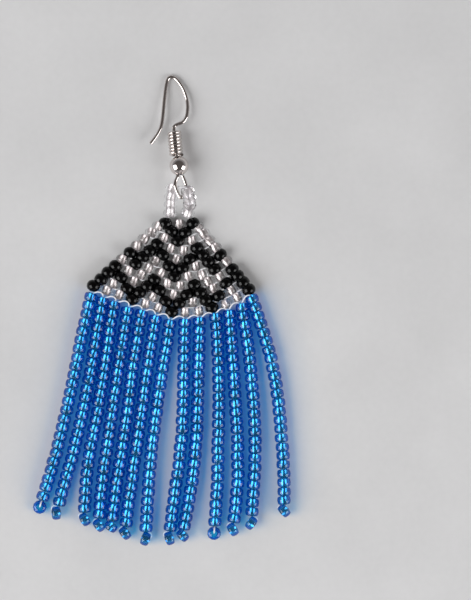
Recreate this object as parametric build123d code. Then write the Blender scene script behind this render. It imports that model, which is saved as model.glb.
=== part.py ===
"""Beaded earring, lying flat: a fish-hook ear wire over a brick-stitch fan with a fringe of bead strings.

Millimetres, +Z up, +Y from the fringe towards the hook. The pieces are laid out from the middle bead of the
fan's first row, then the whole is moved so that the origin is the bottom centre of its bounding box.
"""

import os
from math import asin, cos, degrees, radians, sin, sqrt, tan

from build123d import *

# Seed beads
BEAD_OD = 2.15
BEAD_LENGTH = 1.435
BEAD_GAP = 0.05
BEAD_SPACING = BEAD_OD + BEAD_GAP
THREAD_GAP = 0.4

# A string of beads is a smooth tube, this much inside the beads' widest outline all round. The arcs of its route
# take this share of a run on each side of a corner.
TUBE_INSET = 0.075
STRING_OD = BEAD_OD - 2 * TUBE_INSET
END_ROUNDING = 0.45
ARC_SHARE = 0.45

# Fan of brick stitch: each row has one bead more than the row above it. Both halves of a row are arcs that start
# at its middle bead: rise is how steeply a half climbs there, and turn how much steeper it is at its end, both
# in degrees.
FAN_ROWS = 11
FIRST_ROW_BEADS = 3
FAN_LEAN = 5.0
ROW_PITCH = 1.42
ROW_HALVES = {
    "left":  {"side": -1, "rise": 17.5, "turn": 2.0},
    "right": {"side": 1, "rise": -4.0, "turn": 40.0},
}

# Share of that rise and turn which the short first row has
FIRST_ROW_SHARE = 0.2

# Each half row is a bar: past the middle, thicker than a bead is long so that it fuses with the next row, and its
# edges rounded
ROW_LAP = 0.6
ROW_FUSE = 0.19
ROW_ROUNDING = 0.45

# Fringe strings: stacked beads, then one turned crosswise
STRAND_BEADS = 24

# Ear wire, in its own frame: the shank runs up +Y from the underside of the ball
WIRE = 0.6
BALL_OD = 3.1
BALL_BORE = 1.3
BALL_PLAY = 0.07
COIL_WIRE = 0.5
COIL_OD = 2.3
COIL_PITCH = 0.53
COIL_TURNS = 7
SEAT_GAP = 0.06
SHOULDER_DROP = 0.75
HOOK_HEIGHT = 9.03
FRONT_REACH = 2.3
TAIL_REACH = 3.95
EYE_LENGTH = 4.3
EYE_WIDTH = 1.95
HOOK_LEAN = 5.3

# Hanger arms: the string of clear beads that hangs in the eye
ARM_BEADS = 4
ARM_PLACES = {"left": -0.7, "right": 0.6}
EYE_CLEARANCE = 0.23
EYE_LIFT = BEAD_OD + WIRE / 2 + EYE_CLEARANCE

# Corners of the ear wire above the coil: shares of the reach on their side of the shank, shares of HOOK_HEIGHT
# above the shoulder, and the radius of the bend in wire diameters
#            across  height  bend
HOOK_BENDS = {
    "tip":      (-1.00, -0.247, 0.0),
    "tail":     (-0.57, -0.046, 5.0),
    "top":      (0.00, 1.000, 1.35),
    "brow":     (1.00, 0.644, 6.5),
    "chin":     (1.00, 0.082, 2.7),
    "shoulder": (0.00, 0.000, 0.85),
}

# Corners of the eye below the ball: shares of EYE_WIDTH, shares of EYE_LENGTH, and the bend in wire diameters
EYE_BENDS = {
    "neck":   (0.00, -0.02, 1.3),
    "left":   (-0.41, -0.35, 2.0),
    "bottom": (0.04, -1.00, 0.7),
    "right":  (0.60, -0.44, 2.0),
    "end":    (0.35, -0.03, 0.0),
}

# Foot of the eye beyond the middle bead of the fan's first row, in shares of the arm's length
EYE_SEAT = (0.06, 0.75)

# Routes of the two arms from their first bead's foot: across and along in shares of the arm's length, and height
# in shares of EYE_LIFT. The left arm ends under the eye's wire and the right arm over it.
ARM_ROUTES = {
    "left": [(0.0, 0.0, 0.0), (0.01, 0.40, 0.17), (0.08, 0.88, 0.0)],
    "right": [(0.0, 0.0, 0.0), (0.06, 0.25, 0.11), (0.11, 0.47, 0.75), (0.01, 0.78, 1.48)],
}

# Lean of each fifth of a string, in degrees from straight down towards +X, from its top to its end bead
STRAND_LEANS = [
    (-13.5, -10.5, -12.5, -14.5, -18.5),
    (-9.5, -10.0, -12.0, -15.5, -16.5),
    (-9.5, -8.0, -11.0, -10.5, -2.5),
    (-9.5, -8.0, -8.5, -9.5, -4.5),
    (-10.0, -7.0, -7.5, -9.5, -7.0),
    (-9.5, -7.5, -8.0, -8.5, -7.5),
    (-9.5, -8.5, -7.0, -4.5, -3.5),
    (-1.0, -0.5, -4.0, -8.0, -7.5),
    (-0.5, -1.0, -2.0, -6.5, -10.0),
    (4.0, 0.5, -1.0, -1.5, -4.5),
    (4.0, 3.5, 4.0, 0.5, -7.5),
    (9.5, 5.0, 2.5, -1.5, -4.5),
    (20.0, 12.5, 6.5, 3.5, 0.0),
]


def row_beads(row):
    return FIRST_ROW_BEADS + row


STRANDS = row_beads(FAN_ROWS - 1)


def row_middle(row):
    """Middle bead of a row, on the leaning middle line of the fan."""
    drop = row * ROW_PITCH
    return Vector(-drop * sin(radians(FAN_LEAN)), -drop * cos(radians(FAN_LEAN)), BEAD_OD / 2)


def half_bend(row, half):
    """Radius and rise of one half of a row."""
    share = FIRST_ROW_SHARE if row == 0 else 1.0
    length = (row_beads(row) - 1) / 2 * BEAD_SPACING
    return length / radians(share * half["turn"]), radians(share * half["rise"])


def half_point(row, half, distance, outward):
    """Point at this distance along one half of a row, and outward below its beads."""
    radius, rise = half_bend(row, half)
    steep = rise + distance / radius
    across = radius * (sin(steep) - sin(rise)) + outward * sin(steep)
    up = radius * (cos(rise) - cos(steep)) - outward * cos(steep)
    return row_middle(row) + Vector(half["side"] * across, up, 0)


def fan_point(row, place, outward=0.0):
    """Point on a row, place beads from its middle, where both halves count."""
    halves = [half for half in ROW_HALVES.values() if place * half["side"] >= 0]
    points = [half_point(row, half, abs(place) * BEAD_SPACING, outward) for half in halves]
    return sum(points, Vector()) / len(points)


def half_row(row, half):
    """Half a row of beads as a bent bar with a rounded section, which laps a little over the other half."""
    radius, rise = half_bend(row, half)
    section = Plane.XZ * Pos(radius, 0) * RectangleRounded(BEAD_LENGTH + ROW_FUSE, BEAD_OD, ROW_ROUNDING)
    length = ROW_LAP + row_beads(row) / 2 * BEAD_SPACING
    bar = revolve(section, Axis.Z, degrees(length / radius))
    bar = Rot(Z=degrees(rise - ROW_LAP / radius) - 90) * bar
    centre = radius * Vector(-half["side"] * sin(rise), cos(rise), 0)
    return Pos(row_middle(row) + centre) * (bar if half["side"] > 0 else mirror(bar, Plane.YZ))


def beaded_fan():
    bars = [half_row(row, half) for row in range(FAN_ROWS) for half in ROW_HALVES.values()]
    return bars[0].fuse(*bars[1:])


def bead_string(points, name):
    """A string of beads as a tube with rounded ends, along straight runs joined by arcs."""
    runs = [b - a for a, b in zip(points, points[1:])]
    radii = []
    for before, after in zip(runs, runs[1:]):
        half_turn = radians(before.get_angle(after)) / 2
        radii.append(ARC_SHARE * min(before.length, after.length) / tan(half_turn))
    print(name, "radii", [round(radius, 1) for radius in radii])
    path = FilletPolyline(*points, radius=radii)
    section = Plane(origin=path @ 0, z_dir=path % 0) * Circle(STRING_OD / 2)
    tube = sweep(section, path=path)
    return fillet(tube.faces().filter_by(GeomType.PLANE).edges(), END_ROUNDING)


def strand_points(index):
    """Route of a string from the foot of its bead in the last row to the far side of its turned end bead."""
    place = index - (STRANDS - 1) / 2
    foot = fan_point(FAN_ROWS - 1, place, BEAD_LENGTH / 2 + THREAD_GAP)
    leans = STRAND_LEANS[round(index / (STRANDS - 1) * (len(STRAND_LEANS) - 1))]
    run = (STRAND_BEADS * BEAD_LENGTH + BEAD_OD) / len(leans)
    points = [Vector(foot.X, foot.Y, STRING_OD / 2)]
    for lean in leans:
        points.append(points[-1] + run * Vector(sin(radians(lean)), -cos(radians(lean)), 0))
    return points


def arm_points(side):
    foot = fan_point(0, ARM_PLACES[side], -BEAD_LENGTH / 2 - THREAD_GAP)
    length = ARM_BEADS * BEAD_LENGTH
    return [foot + Vector(x * length, y * length, z * EYE_LIFT) for x, y, z in ARM_ROUTES[side]]


def ball_shift():
    """How far the loose ball sits off the shank's axis."""
    return (BALL_BORE - WIRE) / 2 - BALL_PLAY


def coil_foot():
    """Height of the coil's first turn above the underside of the ball that it sits on."""
    off_axis = (COIL_OD - COIL_WIRE) / 2 - ball_shift()
    touch = (BALL_OD + COIL_WIRE) / 2
    return BALL_OD / 2 + sqrt(touch**2 - off_axis**2) + SEAT_GAP


def wire_corners():
    """Corners of the wire and the radius of each bend, from the cut tip to the end of the eye."""
    shoulder = coil_foot() + COIL_TURNS * COIL_PITCH + SHOULDER_DROP
    corners = []
    for across, height, bend in HOOK_BENDS.values():
        reach = TAIL_REACH if across < 0 else FRONT_REACH
        corners.append((Vector(across * reach, shoulder + height * HOOK_HEIGHT), bend * WIRE))
    for across, height, bend in EYE_BENDS.values():
        corners.append((Vector(across * EYE_WIDTH, height * EYE_LENGTH), bend * WIRE))
    return corners


def wire_path():
    corners = wire_corners()
    points = [point for point, bend in corners]
    bends = [bend for point, bend in corners[1:-1]]
    return FilletPolyline(*points, radius=bends)


def ear_hook():
    path = wire_path()
    section = Plane(origin=path @ 0, z_dir=path % 0) * Circle(WIRE / 2)
    return sweep(section, path=path)


def hook_coil():
    path = Helix(COIL_PITCH, COIL_TURNS * COIL_PITCH, (COIL_OD - COIL_WIRE) / 2)
    section = Plane(origin=path @ 0, z_dir=path % 0) * Circle(COIL_WIRE / 2)
    spring = sweep(section, path=path, is_frenet=True)
    return Pos(0, coil_foot(), 0) * Rot(X=-90) * spring


def hook_ball():
    drilled = Sphere(BALL_OD / 2) - Cylinder(BALL_BORE / 2, BALL_OD)
    return Pos(ball_shift(), BALL_OD / 2, 0) * Rot(X=90) * drilled


def hook_place():
    """Where the ear wire lies: its bend on the surface, its eye lifted on the arms' top beads."""
    lean = Rot(Z=HOOK_LEAN)
    across, along, _ = EYE_BENDS["bottom"]
    eye_foot = (lean * Pos(across * EYE_WIDTH, along * EYE_LENGTH)).position
    box = (lean * wire_path()).bounding_box()
    tilt = degrees(asin((EYE_LIFT - WIRE / 2) / (box.max.Y - box.min.Y)))
    seat = fan_point(0, 0) + ARM_BEADS * BEAD_LENGTH * Vector(*EYE_SEAT)
    return Pos(seat.X, seat.Y, EYE_LIFT) * Rot(X=-tilt) * Pos(-eye_foot.X, -box.min.Y) * lean


place = hook_place()
nodes = {
    "ear_hook": place * ear_hook(),
    "hook_coil": place * hook_coil(),
    "hook_ball": place * hook_ball(),
    "beaded_fan": beaded_fan(),
}
for side in ARM_ROUTES:
    nodes[f"hanger_arm_{side}"] = bead_string(arm_points(side), f"hanger_arm_{side}")
for index in range(STRANDS):
    name = f"fringe_strand_{index + 1:02d}"
    nodes[name] = bead_string(strand_points(index), name)

box = Compound(list(nodes.values())).bounding_box()
origin = Pos(-box.center().X, -box.center().Y, -box.min.Z)
os.makedirs("parts", exist_ok=True)
for name, solid in nodes.items():
    export_step(origin * solid, f"parts/{name}.step")
print("size", box.size, "first bead", origin.position + fan_point(0, 0))
tip = origin * place * wire_path()
print("tip of the wire", tip @ 0, "its way in", tip % 0)
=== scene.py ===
import math
import random

import bmesh
import bpy
from mathutils import Euler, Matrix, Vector


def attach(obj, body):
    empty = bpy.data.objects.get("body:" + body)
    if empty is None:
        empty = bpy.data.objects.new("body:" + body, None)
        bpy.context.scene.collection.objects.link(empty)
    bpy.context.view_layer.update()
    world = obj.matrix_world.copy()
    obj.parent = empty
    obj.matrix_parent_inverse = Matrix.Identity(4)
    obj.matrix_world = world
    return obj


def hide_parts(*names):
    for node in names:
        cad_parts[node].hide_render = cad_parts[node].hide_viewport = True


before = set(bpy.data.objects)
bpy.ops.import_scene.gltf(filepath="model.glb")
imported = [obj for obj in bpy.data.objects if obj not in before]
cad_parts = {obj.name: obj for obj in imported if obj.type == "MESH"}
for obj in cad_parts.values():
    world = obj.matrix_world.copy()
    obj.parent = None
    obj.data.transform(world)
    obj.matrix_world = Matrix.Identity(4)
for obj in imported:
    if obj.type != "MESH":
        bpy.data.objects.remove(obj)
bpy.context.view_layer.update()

# Table and windows
# A pale grey mottled board carries the earring, and the camera looks straight down on it. Two large windows,
# one on each side and a little towards the fringe, give every bead and wire its two highlights.
MM = 0.001
PHOTO_HEIGHT = 96.77 * MM  # how much of the table the picture shows from top to bottom
PHOTO_MIDDLE = Vector((11.836, 1.868, 0)) * MM
CAMERA_HEIGHT = 0.55
TABLE_SIDE = 4.0
TABLE_GREY = (0.66, 0.66, 0.665)
TABLE_ROUGHNESS = 0.75
WALL_GREY = (0.34, 0.34, 0.35)
CEILING_GREY = (0.105, 0.095, 0.092)
WALL_TOP = 0.25  # where the walls start to darken, as the sine of the angle above the table
CEILING_EDGE = 0.55  # where they have darkened to the ceiling
WINDOWS = {  # direction from the earring, distance, width, height, watts
    "left_window": ((-0.735, -0.30, 0.61), 1.0, 0.86, 0.76, 10.6),
    "right_window": ((0.81, -0.37, 0.46), 1.0, 0.66, 0.72, 6.1),
}


def new_material(name):
    """A material with nothing in it but its output node."""
    material = bpy.data.materials.new(name)
    material.use_nodes = True
    nodes = material.node_tree.nodes
    for node in list(nodes):
        if node.type != "OUTPUT_MATERIAL":
            nodes.remove(node)
    return material, nodes, material.node_tree.links


def unevenness_group():
    """Soft noise in Object coordinates, as a factor round one and as a height."""
    group = bpy.data.node_groups.new("unevenness", "ShaderNodeTree")
    ask = group.interface.new_socket
    ask("Scale", in_out="INPUT", socket_type="NodeSocketFloat")
    ask("Detail", in_out="INPUT", socket_type="NodeSocketFloat")
    ask("Spread", in_out="INPUT", socket_type="NodeSocketFloat")
    ask("Factor", in_out="OUTPUT", socket_type="NodeSocketFloat")
    ask("Height", in_out="OUTPUT", socket_type="NodeSocketFloat")
    nodes, link = group.nodes, group.links.new
    inputs, outputs = nodes.new("NodeGroupInput"), nodes.new("NodeGroupOutput")
    place = nodes.new("ShaderNodeTexCoord")
    noise = nodes.new("ShaderNodeTexNoise")
    spread = nodes.new("ShaderNodeMapRange")
    lowest = nodes.new("ShaderNodeMath")
    highest = nodes.new("ShaderNodeMath")
    lowest.operation = "SUBTRACT"
    highest.operation = "ADD"
    lowest.inputs[0].default_value = highest.inputs[0].default_value = 1.0
    link(place.outputs["Object"], noise.inputs["Vector"])
    link(inputs.outputs["Scale"], noise.inputs["Scale"])
    link(inputs.outputs["Detail"], noise.inputs["Detail"])
    link(inputs.outputs["Spread"], lowest.inputs[1])
    link(inputs.outputs["Spread"], highest.inputs[1])
    link(noise.outputs["Fac"], spread.inputs["Value"])
    link(lowest.outputs["Value"], spread.inputs["To Min"])
    link(highest.outputs["Value"], spread.inputs["To Max"])
    link(spread.outputs["Result"], outputs.inputs["Factor"])
    link(noise.outputs["Fac"], outputs.inputs["Height"])
    return group


unevenness = unevenness_group()


def add_unevenness(nodes, scale, detail, spread):
    node = nodes.new("ShaderNodeGroup")
    node.node_tree = unevenness
    node.inputs["Scale"].default_value = scale
    node.inputs["Detail"].default_value = detail
    node.inputs["Spread"].default_value = spread
    return node


def table_material():
    """Grey board with wide soft mottling and a fine grain."""
    material, nodes, links = new_material("pale_board")
    surface = nodes.new("ShaderNodeBsdfPrincipled")
    mottle = add_unevenness(nodes, scale=55.0, detail=3.0, spread=0.10)
    grain = add_unevenness(nodes, scale=900.0, detail=2.0, spread=0.03)
    shade = nodes.new("ShaderNodeMath")
    shade.operation = "MULTIPLY"
    colour = nodes.new("ShaderNodeMix")
    colour.data_type = "RGBA"
    colour.blend_type = "MULTIPLY"
    colour.inputs["Factor"].default_value = 1.0
    colour.inputs["A"].default_value = (*TABLE_GREY, 1)
    links.new(mottle.outputs["Factor"], shade.inputs[0])
    links.new(grain.outputs["Factor"], shade.inputs[1])
    links.new(shade.outputs["Value"], colour.inputs["B"])
    links.new(colour.outputs["Result"], surface.inputs["Base Color"])
    surface.inputs["Roughness"].default_value = TABLE_ROUGHNESS
    links.new(surface.outputs["BSDF"], nodes["Material Output"].inputs["Surface"])
    return material


def add_window(name, direction, distance, width, height, watts):
    """A lit rectangle that faces the earring."""
    lamp = bpy.data.lights.new(name, "AREA")
    lamp.shape = "RECTANGLE"
    lamp.size, lamp.size_y, lamp.energy = width, height, watts
    window = bpy.data.objects.new(name, lamp)
    window.location = Vector(direction).normalized() * distance
    window.rotation_euler = Vector(direction).to_track_quat("Z", "Y").to_euler()
    bpy.context.collection.objects.link(window)


def room_world():
    """Pale walls that darken to the ceiling over the earring."""
    room = bpy.data.worlds.new("room")
    room.use_nodes = True
    nodes, links = room.node_tree.nodes, room.node_tree.links
    sight = nodes.new("ShaderNodeTexCoord")
    height = nodes.new("ShaderNodeSeparateXYZ")
    overhead = nodes.new("ShaderNodeMapRange")
    overhead.inputs["From Min"].default_value = WALL_TOP
    overhead.inputs["From Max"].default_value = CEILING_EDGE
    paint = nodes.new("ShaderNodeMix")
    paint.data_type = "RGBA"
    paint.inputs["A"].default_value = (*WALL_GREY, 1)
    paint.inputs["B"].default_value = (*CEILING_GREY, 1)
    links.new(sight.outputs["Object"], height.inputs["Vector"])
    links.new(height.outputs["Z"], overhead.inputs["Value"])
    links.new(overhead.outputs["Result"], paint.inputs["Factor"])
    links.new(paint.outputs["Result"], nodes["Background"].inputs["Color"])
    return room


bpy.ops.object.select_all(action="DESELECT")
bpy.ops.mesh.primitive_plane_add(size=TABLE_SIDE)
table = bpy.context.object
table.name = "table"
table.data.materials.append(table_material())

for name, window in WINDOWS.items():
    add_window(name, *window)
bpy.context.scene.world = room_world()

camera = bpy.data.objects.new("camera", bpy.data.cameras.new("camera"))
camera.data.lens = camera.data.sensor_width * CAMERA_HEIGHT / PHOTO_HEIGHT
camera.location = PHOTO_MIDDLE + Vector((0, 0, CAMERA_HEIGHT))
bpy.context.collection.objects.link(camera)
bpy.context.scene.camera = camera
bpy.context.scene.view_settings.view_transform = "Standard"

# Ear wire
# A fish hook bent from round silver-tone wire, with a close coil and a drilled ball threaded on its shank.
# The plate is polished, a little brown where it has dulled, and has the fine marks of handling.
SILVER = (0.71, 0.66, 0.635)
SILVER_ROUGHNESS = 0.09
DULL_SHARE = 0.5  # how much of the dulling shows in the colour
WIRE = 0.6 * MM
WIRE_SIDES = 12
WIRE_STEPS = 16
WIRE_REST = 37.41 * MM  # how far along the table the bend comes to rest on it
WIRE_SLOPE = 0.1251  # how steeply the wire rises from there to the tip and to the eye
WIRE_ROUTE = [  # across and along, in mm: the tip and the long leg, the bend, the shoulder and the shank, the eye
    (-1.81, 26.98), (-0.59, 28.55), (0.05, 30.2), (0.38, 34.4),
    (0.7, 36.8), (1.05, 37.82), (2.0, 37.8), (2.95, 36.7), (3.75, 35.2), (4.25, 33.1), (3.85, 30.55),
    (1.98, 30.0), (1.93, 29.4), (2.03, 28.33), (2.54, 22.88),
    (2.64, 21.81), (2.1, 20.8), (2.12, 20.0), (3.11, 17.8), (3.85, 19.7), (3.95, 20.4), (3.32, 21.83),
]


def roughen(nodes, links, surface, pattern, roughness):
    """Gives the surface this roughness, unevenly as the pattern has it."""
    rough = nodes.new("ShaderNodeMath")
    rough.operation = "MULTIPLY"
    rough.inputs[1].default_value = roughness
    links.new(pattern.outputs["Factor"], rough.inputs[0])
    links.new(rough.outputs["Value"], surface.inputs["Roughness"])


def emboss(nodes, links, surface, pattern, strength, distance):
    """Raises and sinks the surface as the pattern has it."""
    relief = nodes.new("ShaderNodeBump")
    relief.inputs["Strength"].default_value = strength
    relief.inputs["Distance"].default_value = distance
    links.new(pattern.outputs["Height"], relief.inputs["Height"])
    links.new(relief.outputs["Normal"], surface.inputs["Normal"])


def silver_material():
    """Polished plate with fine marks, duller and darker in places."""
    material, nodes, links = new_material("silver_plate")
    surface = nodes.new("ShaderNodeBsdfPrincipled")
    surface.inputs["Metallic"].default_value = 1.0
    dulling = add_unevenness(nodes, scale=700.0, detail=4.0, spread=0.25)
    tone = nodes.new("ShaderNodeMix")
    tone.data_type = "RGBA"
    tone.blend_type = "MULTIPLY"
    tone.inputs["Factor"].default_value = DULL_SHARE
    tone.inputs["A"].default_value = (*SILVER, 1)
    links.new(dulling.outputs["Factor"], tone.inputs["B"])
    links.new(tone.outputs["Result"], surface.inputs["Base Color"])
    roughen(nodes, links, surface, dulling, SILVER_ROUGHNESS)
    emboss(nodes, links, surface, dulling, strength=0.06, distance=0.05 * MM)
    links.new(surface.outputs["BSDF"], nodes["Material Output"].inputs["Surface"])
    return material


def add_route(curve, route):
    """Adds the NURBS line that these points draw."""
    spline = curve.splines.new("NURBS")
    spline.points.add(len(route) - 1)
    for control, point in zip(spline.points, route):
        control.co = (*point, 1)
    spline.order_u = 3
    spline.use_endpoint_u = True


def round_wire(name, routes, radius, sides, steps, material):
    """Round wires or threads, one along each route, as one curve."""
    curve = bpy.data.curves.new(name, "CURVE")
    curve.dimensions = "3D"
    curve.bevel_depth = radius
    curve.bevel_resolution = sides // 2 - 2
    curve.resolution_u = steps
    curve.use_fill_caps = True
    for route in routes:
        add_route(curve, route)
    wire = bpy.data.objects.new(name, curve)
    bpy.context.collection.objects.link(wire)
    curve.materials.append(material)
    return wire


def wire_point(across, along_table):
    """Point of the wire over this place, which rises evenly from where the bend rests."""
    rise = max(0.0, WIRE_REST - along_table * MM) * WIRE_SLOPE
    return Vector((across * MM, along_table * MM, WIRE / 2 + rise))


silver = silver_material()
for name in ("hook_coil", "hook_ball"):
    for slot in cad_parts[name].material_slots:
        slot.material = silver

wire_route = [wire_point(*place) for place in WIRE_ROUTE]
ear_wire = round_wire("ear_wire", [wire_route], WIRE / 2, WIRE_SIDES, WIRE_STEPS, silver)
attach(ear_wire, "root")
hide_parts("ear_hook")

# Seed beads
# Short barrels cut from drawn glass cane and fire-rounded, 2.2 mm across. The blue and the clear ones have a
# silver-lined hole, which is what sparkles; the black ones are opaque all through.
BEAD_OD = 2.24 * MM
BEAD_LENGTH = 1.435 * MM
CLEAR_LENGTH = 1.5 * MM
BLACK_LENGTH = 1.78 * MM
BEAD_SIDES = 12
SMOOTH_ANGLE = math.radians(60)
BARREL = [(1.0, 0.0), (0.96, 0.5), (0.84, 0.86), (0.43, 1.0)]  # radius and height, in shares, from its middle out
FAT_BARREL = [(1.0, 0.0), (0.95, 0.42), (0.76, 0.78), (0.43, 1.0)]
BLUE_GLASS = (0.05, 0.33, 0.84)
BLUE_RIM = (0.0, 0.09, 0.42)
BLUE_SHADOW = (0.0, 0.66, 0.93)  # the light that a bead lets through to the table, as for the other glasses
CLEAR_GLASS = (1.0, 1.0, 1.0)
CLEAR_RIM = (0.90, 0.90, 0.93)
CLEAR_SHADOW = (1.0, 1.0, 1.0)
BLACK_GLASS = (0.0006, 0.0006, 0.0008)
BLACK_SHADOW = (0.0, 0.0, 0.0)
BLUE_LINING = (0.80, 0.80, 0.80)
BLUE_LINING_SHADOW = (0.0, 0.55, 0.78)
CLEAR_LINING = (0.52, 0.475, 0.475)
CLEAR_LINING_SHADOW = (0.92, 0.92, 0.92)
GLASS_IOR = 1.52
GLASS_ROUGHNESS = 0.03
OPAQUE_SHINE = 0.25
OPAQUE_SPREAD = 0.2
RIM_START = 0.18  # how far the glass has turned from the eye, from 0 to 1, when its colour starts to deepen
RIM_END = 0.55  # and when it is deepest


def lot_group():
    """Varies a colour a little from bead to bead by the bead's own lot number."""
    group = bpy.data.node_groups.new("bead_lot", "ShaderNodeTree")
    ask = group.interface.new_socket
    ask("Color", in_out="INPUT", socket_type="NodeSocketColor")
    ask("Spread", in_out="INPUT", socket_type="NodeSocketFloat")
    ask("Color", in_out="OUTPUT", socket_type="NodeSocketColor")
    nodes, link = group.nodes, group.links.new
    inputs, outputs = nodes.new("NodeGroupInput"), nodes.new("NodeGroupOutput")
    lot = nodes.new("ShaderNodeAttribute")
    lot.attribute_name = "lot"
    centred = nodes.new("ShaderNodeMath")
    centred.operation = "SUBTRACT"
    centred.inputs[1].default_value = 0.5
    value = nodes.new("ShaderNodeMath")
    value.operation = "MULTIPLY_ADD"
    value.inputs[2].default_value = 1.0
    shift = nodes.new("ShaderNodeHueSaturation")
    link(lot.outputs["Fac"], centred.inputs[0])
    link(centred.outputs["Value"], value.inputs[0])
    link(inputs.outputs["Spread"], value.inputs[1])
    link(value.outputs["Value"], shift.inputs["Value"])
    link(inputs.outputs["Color"], shift.inputs["Color"])
    link(shift.outputs["Color"], outputs.inputs["Color"])
    return group


bead_lot = lot_group()


def add_lot(nodes, spread):
    node = nodes.new("ShaderNodeGroup")
    node.node_tree = bead_lot
    node.inputs["Spread"].default_value = spread
    return node


def let_light_through(nodes, links, surface, colour):
    """Puts the surface on the bead, but lets light to or from the table straight through, in this colour."""
    through = nodes.new("ShaderNodeBsdfTransparent")
    through.inputs["Color"].default_value = (*colour, 1)
    path = nodes.new("ShaderNodeLightPath")
    straight = nodes.new("ShaderNodeMath")
    straight.operation = "MAXIMUM"
    both = nodes.new("ShaderNodeMixShader")
    links.new(path.outputs["Is Shadow Ray"], straight.inputs[0])
    links.new(path.outputs["Is Diffuse Ray"], straight.inputs[1])
    links.new(straight.outputs["Value"], both.inputs["Fac"])
    links.new(surface.outputs["BSDF"], both.inputs[1])
    links.new(through.outputs["BSDF"], both.inputs[2])
    links.new(both.outputs["Shader"], nodes["Material Output"].inputs["Surface"])


def glass_material(name, colour, rim, shadow, spread, shine):
    """Glass that is deeper in colour at its rim."""
    material, nodes, links = new_material(name)
    surface = nodes.new("ShaderNodeBsdfPrincipled")
    surface.inputs["Transmission Weight"].default_value = 1.0
    surface.inputs["IOR"].default_value = GLASS_IOR
    surface.inputs["Specular IOR Level"].default_value = shine
    surface.inputs["Roughness"].default_value = GLASS_ROUGHNESS
    lot = add_lot(nodes, spread)
    facing = nodes.new("ShaderNodeLayerWeight")
    facing.inputs["Blend"].default_value = 0.5
    depth = nodes.new("ShaderNodeMapRange")
    depth.inputs["From Min"].default_value = RIM_START
    depth.inputs["From Max"].default_value = RIM_END
    deepening = nodes.new("ShaderNodeMix")
    deepening.data_type = "RGBA"
    deepening.inputs["A"].default_value = (*colour, 1)
    deepening.inputs["B"].default_value = (*rim, 1)
    links.new(facing.outputs["Facing"], depth.inputs["Value"])
    links.new(depth.outputs["Result"], deepening.inputs["Factor"])
    links.new(deepening.outputs["Result"], lot.inputs["Color"])
    links.new(lot.outputs["Color"], surface.inputs["Base Color"])
    let_light_through(nodes, links, surface, shadow)
    return material


def opaque_material(name, colour, shadow, metallic, roughness):
    """Silver lining, or glass that can't be seen into, with a slightly uneven polish."""
    material, nodes, links = new_material(name)
    surface = nodes.new("ShaderNodeBsdfPrincipled")
    surface.inputs["Metallic"].default_value = metallic
    surface.inputs["Specular IOR Level"].default_value = OPAQUE_SHINE
    lot = add_lot(nodes, OPAQUE_SPREAD)
    lot.inputs["Color"].default_value = (*colour, 1)
    links.new(lot.outputs["Color"], surface.inputs["Base Color"])
    polish = add_unevenness(nodes, scale=1800.0, detail=1.0, spread=0.3)
    roughen(nodes, links, surface, polish, roughness)
    let_light_through(nodes, links, surface, shadow)
    return material


def pick_faces(test):
    """Selects only the faces of the mesh in edit mode that pass the test."""
    mesh = bmesh.from_edit_mesh(bpy.context.object.data)
    for part in (*mesh.faces, *mesh.edges, *mesh.verts):
        part.select = False
    for face in mesh.faces:
        if test(face):
            face.select_set(True)
    bmesh.update_edit_mesh(bpy.context.object.data)


def shape_rings(profile, length):
    """Moves the rings of the sphere in edit mode to the profile of a bead of this length."""
    mesh = bmesh.from_edit_mesh(bpy.context.object.data)
    for vertex in mesh.verts:
        ring = round(abs(math.asin(vertex.co.z)) / (math.pi / 2 / len(profile)))
        around = vertex.co.xy.normalized() * profile[ring][0] * BEAD_OD / 2
        vertex.co = (*around, math.copysign(profile[ring][1] * length / 2, vertex.co.z))
    bmesh.update_edit_mesh(bpy.context.object.data)


def seed_bead(name, glass, lining, profile, length):
    """One bead at the origin with its hole along Z: a sphere with its rings moved to the profile, and drilled."""
    bpy.ops.object.select_all(action="DESELECT")
    bpy.ops.mesh.primitive_uv_sphere_add(segments=BEAD_SIDES, ring_count=2 * len(profile), radius=1.0)
    bead = bpy.context.object
    bead.name = name
    bead.data.materials.append(glass)
    bead.data.materials.append(lining)
    bpy.ops.object.mode_set(mode="EDIT")
    bpy.ops.mesh.select_mode(type="FACE")
    pick_faces(lambda face: len(face.verts) == 3)
    bpy.ops.mesh.delete(type="FACE")
    shape_rings(profile, length)
    bpy.ops.mesh.select_mode(type="EDGE")
    bpy.ops.mesh.select_all(action="DESELECT")
    bpy.ops.mesh.select_non_manifold()
    bpy.ops.mesh.bridge_edge_loops()
    bpy.ops.mesh.select_mode(type="FACE")
    bead.active_material_index = 1
    bpy.ops.object.material_slot_assign()
    bpy.ops.mesh.select_all(action="SELECT")
    bpy.ops.mesh.normals_make_consistent(inside=False)
    bpy.ops.object.mode_set(mode="OBJECT")
    bpy.ops.object.shade_smooth_by_angle(angle=SMOOTH_ANGLE)
    return bead


blue_lining = opaque_material("silver_lining_blue", BLUE_LINING, BLUE_LINING_SHADOW, metallic=0.85, roughness=0.2)
clear_lining = opaque_material("silver_lining_clear", CLEAR_LINING, CLEAR_LINING_SHADOW, metallic=1.0, roughness=0.42)
black_glass = opaque_material("black_glass", BLACK_GLASS, BLACK_SHADOW, metallic=0.0, roughness=0.06)
blue_glass = glass_material("blue_glass", BLUE_GLASS, BLUE_RIM, BLUE_SHADOW, spread=0.25, shine=0.09)
clear_glass = glass_material("clear_glass", CLEAR_GLASS, CLEAR_RIM, CLEAR_SHADOW, spread=0.05, shine=0.5)
blue_bead = seed_bead("blue_bead", blue_glass, blue_lining, BARREL, BEAD_LENGTH)
clear_bead = seed_bead("clear_bead", clear_glass, clear_lining, FAT_BARREL, CLEAR_LENGTH)
black_bead = seed_bead("black_bead", black_glass, black_glass, FAT_BARREL, BLACK_LENGTH)

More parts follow.
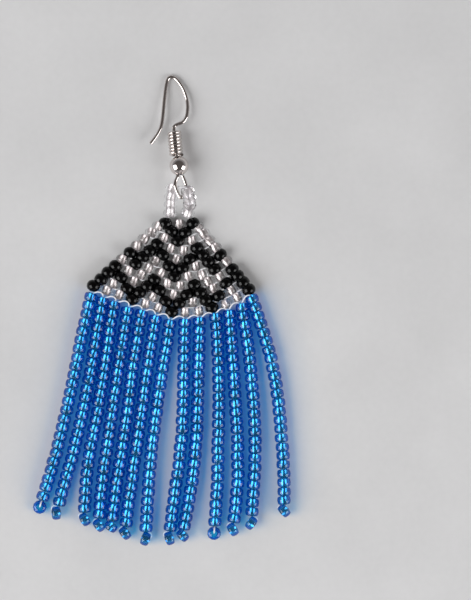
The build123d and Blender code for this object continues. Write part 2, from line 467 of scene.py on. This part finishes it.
# Fan
# Eleven rows of beads in brick stitch, each a bead longer than the row above it, with their holes across the row.
# The black and the clear beads make zigzags: every third bead of a row differs from the rest.
FIRST_BEAD = Vector((2.762, 14.086, 1.12)) * MM
FAN_ROWS = 11
FIRST_ROW_BEADS = 3
BEAD_SPACING = 2.2 * MM
ROW_PITCH = 1.42 * MM
FAN_LEAN = math.radians(5.0)
ROW_HALVES = {-1: (17.5, 2.0), 1: (-4.0, 40.0)}  # by side: how steeply a half climbs and how far it turns
FIRST_ROW_SHARE = 0.2  # the first row climbs and turns this much of that
FAN_WOBBLE = 6.0  # degrees that its beads are out of line
BEAD_DRIFT = 0.03 * MM
BEAD_SPIN = 6  # radians that a bead may have turned round its hole


def stringing_group():
    """Puts a bead on every vertex, turned as the vertex's turn attribute says, and makes one mesh of them."""
    group = bpy.data.node_groups.new("stringing", "GeometryNodeTree")
    ask = group.interface.new_socket
    ask("Geometry", in_out="INPUT", socket_type="NodeSocketGeometry")
    ask("Bead", in_out="INPUT", socket_type="NodeSocketObject")
    ask("Geometry", in_out="OUTPUT", socket_type="NodeSocketGeometry")
    nodes, link = group.nodes, group.links.new
    inputs, outputs = nodes.new("NodeGroupInput"), nodes.new("NodeGroupOutput")
    bead = nodes.new("GeometryNodeObjectInfo")
    turn = nodes.new("GeometryNodeInputNamedAttribute")
    turn.data_type = "FLOAT_VECTOR"
    turn.inputs["Name"].default_value = "turn"
    rotation = nodes.new("FunctionNodeEulerToRotation")
    place = nodes.new("GeometryNodeInstanceOnPoints")
    realize = nodes.new("GeometryNodeRealizeInstances")
    link(inputs.outputs["Bead"], bead.inputs["Object"])
    link(inputs.outputs["Geometry"], place.inputs["Points"])
    link(bead.outputs["Geometry"], place.inputs["Instance"])
    link(turn.outputs["Attribute"], rotation.inputs["Euler"])
    link(rotation.outputs["Rotation"], place.inputs["Rotation"])
    link(place.outputs["Instances"], realize.inputs["Geometry"])
    link(realize.outputs["Geometry"], outputs.inputs["Geometry"])
    return group


stringing = stringing_group()
chance = random.Random(7)


def string_beads(name, bead, stops, wobble_angle):
    """One mesh of beads, one for each place and direction of its hole, and none of them quite in line."""
    mesh = bpy.data.meshes.new(name)
    mesh.from_pydata([place for place, axis in stops], [], [])
    mesh.attributes.new("turn", "FLOAT_VECTOR", "POINT")
    mesh.attributes.new("lot", "FLOAT", "POINT")
    turn, lot = mesh.attributes["turn"], mesh.attributes["lot"]
    for i, (place, axis) in enumerate(stops):
        tilt = [math.radians(chance.gauss(0, wobble_angle)) for _ in range(2)]
        wobble = Euler([*tilt, chance.uniform(0, BEAD_SPIN)])
        quaternion = axis.to_track_quat("Z", "Y") @ wobble.to_quaternion()
        turn.data[i].vector = quaternion.to_euler()
        lot.data[i].value = chance.random()
        drift = Vector([chance.gauss(0, BEAD_DRIFT) for _ in range(2)] + [0])
        mesh.vertices[i].co = place + drift
    string = bpy.data.objects.new(name, mesh)
    bpy.context.collection.objects.link(string)
    bpy.ops.object.select_all(action="DESELECT")
    bpy.context.view_layer.objects.active = string
    string.select_set(True)
    threading = string.modifiers.new("stringing", "NODES")
    threading.node_group = stringing
    threading[stringing.interface.items_tree["Bead"].identifier] = bead
    bpy.ops.object.modifier_apply(modifier="stringing")
    string.data.attributes.remove(string.data.attributes["turn"])
    return string


def row_beads(row):
    return FIRST_ROW_BEADS + row


def half_point(row, side, distance, outward):
    """Point at this distance along the left or right half of a row, and this far out of it towards the fringe."""
    share = FIRST_ROW_SHARE if row == 0 else 1.0
    rise, turn = (share * math.radians(angle) for angle in ROW_HALVES[side])
    radius = (row_beads(row) - 1) / 2 * BEAD_SPACING / turn
    steep = rise + distance / radius
    across = radius * (math.sin(steep) - math.sin(rise)) + outward * math.sin(steep)
    up = radius * (math.cos(rise) - math.cos(steep)) - outward * math.cos(steep)
    middle = FIRST_BEAD - row * ROW_PITCH * Vector((math.sin(FAN_LEAN), math.cos(FAN_LEAN), 0))
    return middle + Vector((side * across, up, 0))


def fan_point(row, place, outward=0.0):
    """Point on a row, this many beads from its middle, where it is the mean of both halves."""
    sides = [side for side in ROW_HALVES if place * side >= 0]
    points = [half_point(row, side, abs(place) * BEAD_SPACING, outward) for side in sides]
    return sum(points, Vector()) / len(points)


def is_clear(row, place):
    """Every third bead is clear in two rows of each four, and black in the other two."""
    third = abs(place) % 3 == (0 if row % 2 == 0 else 1.5)
    return third if row % 4 < 2 else not third


fan_stops = {"fan_black_beads": [], "fan_clear_beads": []}
for row in range(FAN_ROWS):
    for index in range(row_beads(row)):
        place = index - (row_beads(row) - 1) / 2
        point = fan_point(row, place)
        stops = fan_stops["fan_clear_beads" if is_clear(row, place) else "fan_black_beads"]
        stops.append((point, fan_point(row, place, BEAD_LENGTH) - point))
for name, bead in (("fan_black_beads", black_bead), ("fan_clear_beads", clear_bead)):
    beads = string_beads(name, bead, fan_stops[name], FAN_WOBBLE)
    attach(beads, "root")
    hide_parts("beaded_fan")

# Fringe
# Thirteen strings hang from the last row, each of 24 blue beads and one more that lies crosswise and turns the
# thread back up. They lie as they fell, most of them swept a little to the left.
THREAD_GAP = 0.4 * MM  # bare thread from the fan to a string or an arm
STRAND_BEADS = 24
STRAND_ROUTES = [  # how far its top hangs off its bead to the right and up, in mm, then each fifth's lean in degrees
    (0.10, 0.00, -13.5, -10.5, -12.5, -14.5, -18.0),
    (-0.25, 0.00, -9.0, -10.0, -11.5, -15.0, -15.5),
    (-0.50, 0.05, -8.5, -8.0, -10.5, -10.0, -0.5),
    (-0.34, -0.15, -9.5, -8.0, -8.0, -9.0, -3.0),
    (-0.16, 0.10, -10.0, -7.0, -7.5, -9.5, -6.5),
    (-0.05, -0.10, -9.5, -7.5, -8.0, -8.5, -7.0),
    (0.06, -0.15, -9.5, -8.5, -7.0, -4.0, -3.0),
    (-0.14, 0.10, -1.0, -0.5, -4.0, -8.0, -7.0),
    (-0.05, 0.10, -1.0, -1.5, -2.5, -7.5, -11.0),
    (0.26, 0.30, 4.0, 0.5, -1.0, -1.5, -4.5),
    (0.28, 0.00, 4.0, 3.5, 3.5, 0.0, -8.0),
    (0.12, 0.00, 9.5, 5.5, 3.0, -2.0, -4.5),
    (-0.35, 0.10, 20.0, 12.5, 6.5, 3.5, 0.0),
]
FRINGE_WOBBLE = 2.5  # degrees that its beads are out of line
FLAT_ENDS = {0, 9}  # strings whose last bead fell over, so that its hole points up
END_TURNS = [0, 20, 35, 40, 60, 45, -20, 25, 60, 0, 40, -35, 45]  # degrees that each last bead is off crosswise
END_SLACK = 0.04 * MM  # between the last bead and the one above it
ROUTE_STEPS = 24


def smooth_line(points):
    """Points along the NURBS line that these points draw."""
    curve = bpy.data.curves.new("route", "CURVE")
    curve.dimensions = "3D"
    curve.resolution_u = ROUTE_STEPS
    add_route(curve, points)
    route = bpy.data.objects.new("route", curve)
    bpy.context.collection.objects.link(route)
    mesh = bpy.data.meshes.new_from_object(route)
    line = [vertex.co.copy() for vertex in mesh.vertices]
    bpy.data.objects.remove(route)
    bpy.data.curves.remove(curve)
    bpy.data.meshes.remove(mesh)
    return line


def along(line, distance):
    """Place and direction on a line of points, this far from its start."""
    for start, end in zip(line, line[1:]):
        run = (end - start).length
        if distance <= run:
            break
        distance -= run
    direction = (end - start).normalized()
    return start + distance * direction, direction


def strand_points(index):
    """Route of a string from under its bead of the last row to its end."""
    right, up, *leans = STRAND_ROUTES[index]
    point = fan_point(FAN_ROWS - 1, index - (len(STRAND_ROUTES) - 1) / 2, BEAD_LENGTH / 2 + THREAD_GAP)
    point += Vector((right, up, 0)) * MM
    run = (STRAND_BEADS * BEAD_LENGTH + BEAD_OD) / len(leans)
    points = [point]
    for lean in leans:
        point = point + run * Vector((math.sin(math.radians(lean)), -math.cos(math.radians(lean)), 0))
        points.append(point)
    return points


def end_bead(index, line):
    """Place of a string's last bead, against the bead above it however it is turned, and direction of its hole."""
    turned = math.radians(END_TURNS[index])
    reach = math.hypot(BEAD_OD / 2 * math.cos(turned), BEAD_LENGTH / 2 * math.sin(turned)) + END_SLACK
    place, direction = along(line, STRAND_BEADS * BEAD_LENGTH + reach)
    if index in FLAT_ENDS:
        return Vector((place.x, place.y, BEAD_LENGTH / 2)), Vector((0, 0, 1))
    crosswise = direction.cross(Vector((0, 0, 1)))
    return place, crosswise * math.cos(turned) + direction * math.sin(turned)


strand_lines = [smooth_line(strand_points(index)) for index in range(len(STRAND_ROUTES))]
for index, line in enumerate(strand_lines):
    stops = [along(line, (bead + 0.5) * BEAD_LENGTH) for bead in range(STRAND_BEADS)]
    stops.append(end_bead(index, line))
    beads = string_beads(f"fringe_beads_{index + 1:02d}", blue_bead, stops, FRINGE_WOBBLE)
    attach(beads, "root")
    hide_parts(f"fringe_strand_{index + 1:02d}")

# Hanger arms
# Four clear beads on each side carry the fan from the eye of the ear wire. The left four end under the wire
# and the right four climb over it. With no beads beside them to shade them, they look brighter than the fan's,
# so their silver lining is the fan's clear lining painted lighter: painted light, not another kind of lining.
ARM_BEADS = 4
ARM_WOBBLE = 5.0  # degrees that their beads are out of line
ARM_PLACES = {"left": -0.7, "right": 0.6}  # beads from the middle of the first row
EYE_LIFT = 2.68 * MM  # how high the eye lies over the table
# painted light: the clear silver lining again, painted lighter for the arms, which no beads beside them shade
HANGER_LINING_PAINTED_LIGHTER = (0.66, 0.63, 0.64)
ARM_ROUTES = {  # across and along in shares of an arm's length, and height in shares of EYE_LIFT
    "left": [(0.0, 0.0, 0.0), (0.01, 0.40, 0.17), (0.08, 0.88, 0.0)],
    "right": [(0.0, 0.0, 0.0), (0.06, 0.25, 0.11), (0.11, 0.47, 0.75), (0.01, 0.78, 1.48)],
}


def arm_points(side):
    """Route of an arm from the fan's first row up to the eye."""
    foot = fan_point(0, ARM_PLACES[side], -BEAD_LENGTH / 2 - THREAD_GAP)
    length = ARM_BEADS * BEAD_LENGTH
    return [foot + Vector((x * length, y * length, z * EYE_LIFT)) for x, y, z in ARM_ROUTES[side]]


# the arms' beads get the lining that is painted lighter, as painted light for the shade that no neighbours cast
hanger_lining_painted_lighter = opaque_material("silver_lining_hanger_painted_lighter", HANGER_LINING_PAINTED_LIGHTER, CLEAR_LINING_SHADOW, metallic=1.0, roughness=0.5)
hanger_bead = seed_bead("hanger_bead", clear_glass, hanger_lining_painted_lighter, FAT_BARREL, CLEAR_LENGTH)
arm_lines = {side: smooth_line(arm_points(side)) for side in ARM_ROUTES}
for side, line in arm_lines.items():
    length = sum((b - a).length for a, b in zip(line, line[1:]))
    stops = [along(line, (bead + 0.5) * length / ARM_BEADS) for bead in range(ARM_BEADS)]
    beads = string_beads(f"hanger_beads_{side}", hanger_bead, stops, ARM_WOBBLE)
    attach(beads, "root")
    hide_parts(f"hanger_arm_{side}")

# Threads
# White beading thread. It runs over from string to string under the fan, holds the crosswise bead at the foot of
# each string, links the rows of the fan, and joins the two hanger arms through the eye of the ear wire.
THREAD_RADIUS = 0.115 * MM
THREAD_SIDES = 6
THREAD_STEPS = 4
THREAD_WHITE = (0.88, 0.88, 0.91)
THREAD_ROUGHNESS = 0.45
BRIDGE = [  # from one string to the next: share of the way, how far below the row's beads and how high, in mm
    (0.0, 0.62, 1.2), (0.12, 0.45, 1.6), (0.45, -0.12, 2.0),
    (0.75, -0.12, 2.0), (0.93, 0.30, 1.6), (1.0, 0.6, 1.2),
]
END_LOOP = [(0.10, 0.0), (0.55, 0.02), (0.95, 0.32), (0.92, 0.80), (0.55, 1.06)]  # across and along, in mm
FLAT_END_LOOP = [(0.25, 1.55), (0.75, 1.6)]  # along and height, in mm, and then down into the hole
HOLE_HEIGHTS = [1.3, 0.8]  # in mm, over the hole and in it
ROW_THREAD_LOW = 1.0  # height at a bead's hole, in mm
ROW_THREAD_RISE = 0.5  # and how much higher it runs between two beads
ARM_THREAD_GAP = 0.2 * MM  # how far it runs straight out of the first row
EYE_THREAD = [(0.35, 1.5), (0.6, 3.0)]  # share of the way from the left arm to the right, and height in mm


def thread_material():
    """Twisted white thread with a little fluff."""
    material, nodes, links = new_material("white_thread")
    surface = nodes.new("ShaderNodeBsdfPrincipled")
    surface.inputs["Base Color"].default_value = (*THREAD_WHITE, 1)
    surface.inputs["Sheen Weight"].default_value = 0.3
    fibres = add_unevenness(nodes, scale=6000.0, detail=2.0, spread=0.3)
    roughen(nodes, links, surface, fibres, THREAD_ROUGHNESS)
    emboss(nodes, links, surface, fibres, strength=0.2, distance=0.02 * MM)
    links.new(surface.outputs["BSDF"], nodes["Material Output"].inputs["Surface"])
    return material


def at_height(point, height):
    """The point, moved to this height in mm."""
    return Vector((point.x, point.y, height * MM))


def bridge_route(index):
    """Under the fan, from the top of this string over to the top of the next."""
    place = index - (len(STRAND_ROUTES) - 1) / 2
    route = [at_height(fan_point(FAN_ROWS - 1, place + share, BEAD_LENGTH / 2 + out * MM), height)
             for share, out, height in BRIDGE]
    route[0] = at_height(strand_lines[index][0], BRIDGE[0][2])
    route[-1] = at_height(strand_lines[index + 1][0], BRIDGE[-1][2])
    return route


def end_route(index):
    """Round one side of a string's last bead, or over it and into its hole."""
    end, direction = along(strand_lines[index], STRAND_BEADS * BEAD_LENGTH)
    if index in FLAT_ENDS:
        hole = end + direction * BEAD_OD / 2
        over = [at_height(end + direction * reach * MM, height) for reach, height in FLAT_END_LOOP]
        return [end, *over, *(at_height(hole, height) for height in HOLE_HEIGHTS)]
    across = direction.cross(Vector((0, 0, 1)))
    side = math.copysign(1, END_TURNS[index])
    return [end + side * a * MM * across + b * MM * direction for a, b in END_LOOP]


def row_route(row):
    """Between this row of the fan and the next, up and down from bead to bead."""
    ends = (row_beads(row) - 1) / 2
    places = [-ends + step / 2 for step in range(2 * row_beads(row) - 1)]
    return [at_height(fan_point(row, place, BEAD_LENGTH / 2), ROW_THREAD_LOW + ROW_THREAD_RISE * (step % 2))
            for step, place in enumerate(places)]


def arm_route(side):
    """Out of the fan's first row and into the foot of an arm."""
    place = math.copysign(1, ARM_PLACES[side])
    top = fan_point(0, place, -BEAD_LENGTH / 2)
    return [top, fan_point(0, place, -BEAD_LENGTH / 2 - ARM_THREAD_GAP), arm_lines[side][0]]


def eye_route():
    """From the top of the left arm through the eye to the top of the right arm."""
    left, right = arm_lines["left"][-1], arm_lines["right"][-1]
    return [left, *(at_height(left.lerp(right, share), height) for share, height in EYE_THREAD), right]


routes = [bridge_route(index) for index in range(len(STRAND_ROUTES) - 1)]
routes += [end_route(index) for index in range(len(STRAND_ROUTES))]
routes += [row_route(row) for row in range(FAN_ROWS - 1)]
routes += [arm_route(side) for side in ARM_ROUTES]
routes.append(eye_route())
threads = round_wire("threads", routes, THREAD_RADIUS, THREAD_SIDES, THREAD_STEPS, thread_material())
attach(threads, "root")

# The four beads that all the others are copies of aren't part of the earring.
for bead in (blue_bead, clear_bead, black_bead, hanger_bead):
    bpy.data.objects.remove(bead)
